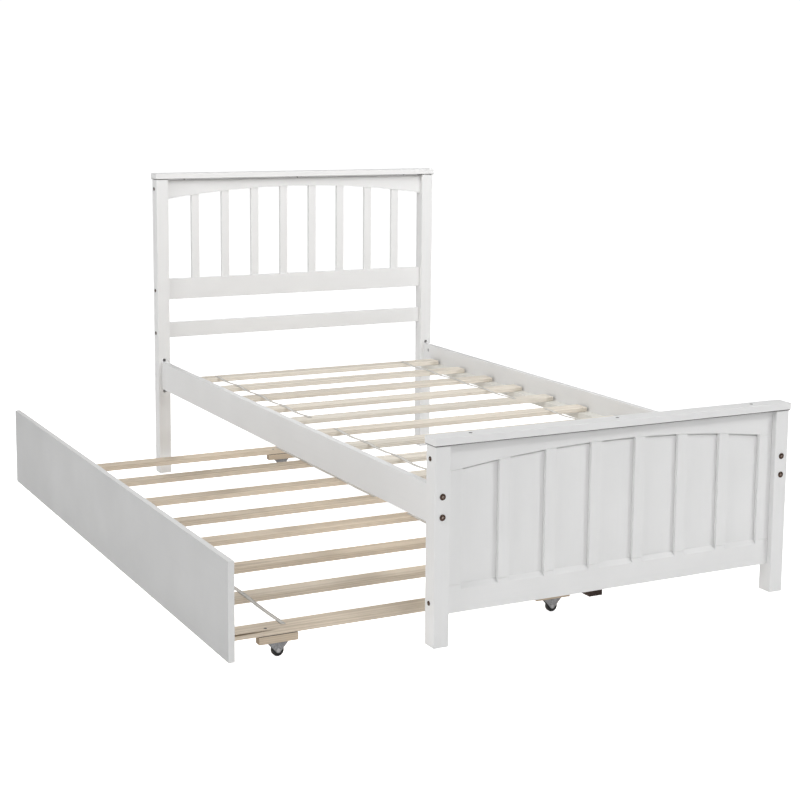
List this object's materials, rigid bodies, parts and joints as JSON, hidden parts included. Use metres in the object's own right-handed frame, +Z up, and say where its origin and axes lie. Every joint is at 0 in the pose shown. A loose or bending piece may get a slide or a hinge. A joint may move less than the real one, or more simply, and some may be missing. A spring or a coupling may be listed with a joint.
{
  "type": "trundle bed",
  "caption": "White slatted single bed with arched headboard and panelled footboard, and a low slatted trundle on casters that rolls out from under its left side.",
  "frame": {"origin": "on the floor, at the centre of the bed frame's four feet", "axes": "+Z up; +Y along the bed towards the headboard; +X across the bed to the right, seen from the footboard; the trundle rolls out towards -X"},
  "size_m": [1.563, 2.026, 1.035],
  "materials": {
    "white_paint": "satin white paint on solid wood",
    "slat_pine": "planed pale pine, unfinished",
    "trundle_pine": "planed pine, unfinished",
    "webbing": "woven grey polyester tape",
    "bronze": "dark bronze plated steel",
    "zinc": "zinc plated steel",
    "caster_steel": "pressed steel sheet, zinc plated",
    "wheel_black": "moulded black nylon"
  },
  "bodies": {
    "bed_frame": {"headboard_left_post": "white_paint", "headboard_right_post": "white_paint", "headboard_cap": "white_paint", "headboard_arched_rail": "white_paint", "headboard_mid_rail": "white_paint", "headboard_lower_rail": "white_paint", "headboard_spindle_1": "white_paint", "headboard_spindle_2": "white_paint", "headboard_spindle_3": "white_paint", "headboard_spindle_4": "white_paint", "headboard_spindle_5": "white_paint", "headboard_spindle_6": "white_paint", "headboard_spindle_7": "white_paint", "headboard_spindle_8": "white_paint", "footboard_left_leg": "white_paint", "footboard_right_leg": "white_paint", "footboard_cap": "white_paint", "footboard_arched_rail": "white_paint", "footboard_bottom_rail": "white_paint", "footboard_panel": "white_paint", "footboard_battens": "white_paint", "left_side_rail": "white_paint", "right_side_rail": "white_paint", "left_slat_cleat": "white_paint", "right_slat_cleat": "white_paint", "bed_slat_1": "slat_pine", "bed_slat_2": "slat_pine", "bed_slat_3": "slat_pine", "bed_slat_4": "slat_pine", "bed_slat_5": "slat_pine", "bed_slat_6": "slat_pine", "bed_slat_7": "slat_pine", "bed_slat_8": "slat_pine", "bed_slat_9": "slat_pine", "bed_slat_10": "slat_pine", "bed_webbing": "webbing", "rail_bolts": "bronze", "frame_bolts": "bronze", "barrel_nuts": "zinc", "bed_screws": "zinc"},
    "trundle": {"trundle_front_panel": "white_paint", "trundle_front_ledger": "trundle_pine", "trundle_inner_rail": "trundle_pine", "trundle_slat_1": "trundle_pine", "trundle_slat_2": "trundle_pine", "trundle_slat_3": "trundle_pine", "trundle_slat_4": "trundle_pine", "trundle_slat_5": "trundle_pine", "trundle_slat_6": "trundle_pine", "trundle_slat_7": "trundle_pine", "trundle_slat_8": "trundle_pine", "trundle_webbing": "webbing", "trundle_screws": "zinc", "caster_blocks": "trundle_pine", "caster_brackets": "caster_steel", "caster_axles": "zinc"},
    "wheel_1": {"caster_wheel_1": "wheel_black"},
    "wheel_2": {"caster_wheel_2": "wheel_black"},
    "wheel_3": {"caster_wheel_3": "wheel_black"},
    "wheel_4": {"caster_wheel_4": "wheel_black"}
  },
  "joints": [
    {"name": "trundle_slide", "type": "slide", "parent": "bed_frame", "child": "trundle", "axis": [1, 0, 0], "range_m": [-0.56, 0.5]},
    {"name": "wheel_1_roll", "type": "hinge", "parent": "trundle", "child": "wheel_1", "pos_m": [-0.88, -0.8865, 0.015], "axis": [0, 1, 0], "continuous": true},
    {"name": "wheel_2_roll", "type": "hinge", "parent": "trundle", "child": "wheel_2", "pos_m": [-0.12, -0.8865, 0.015], "axis": [0, 1, 0], "continuous": true},
    {"name": "wheel_3_roll", "type": "hinge", "parent": "trundle", "child": "wheel_3", "pos_m": [-0.88, 0.8615, 0.015], "axis": [0, 1, 0], "continuous": true},
    {"name": "wheel_4_roll", "type": "hinge", "parent": "trundle", "child": "wheel_4", "pos_m": [-0.12, 0.8615, 0.015], "axis": [0, 1, 0], "continuous": true}
  ],
  "couplings": [
    {"joint": "wheel_1_roll", "follows": "trundle_slide", "rad_per_m": 66.667},
    {"joint": "wheel_2_roll", "follows": "trundle_slide", "rad_per_m": 66.667},
    {"joint": "wheel_3_roll", "follows": "trundle_slide", "rad_per_m": 66.667},
    {"joint": "wheel_4_roll", "follows": "trundle_slide", "rad_per_m": 66.667}
  ]
}
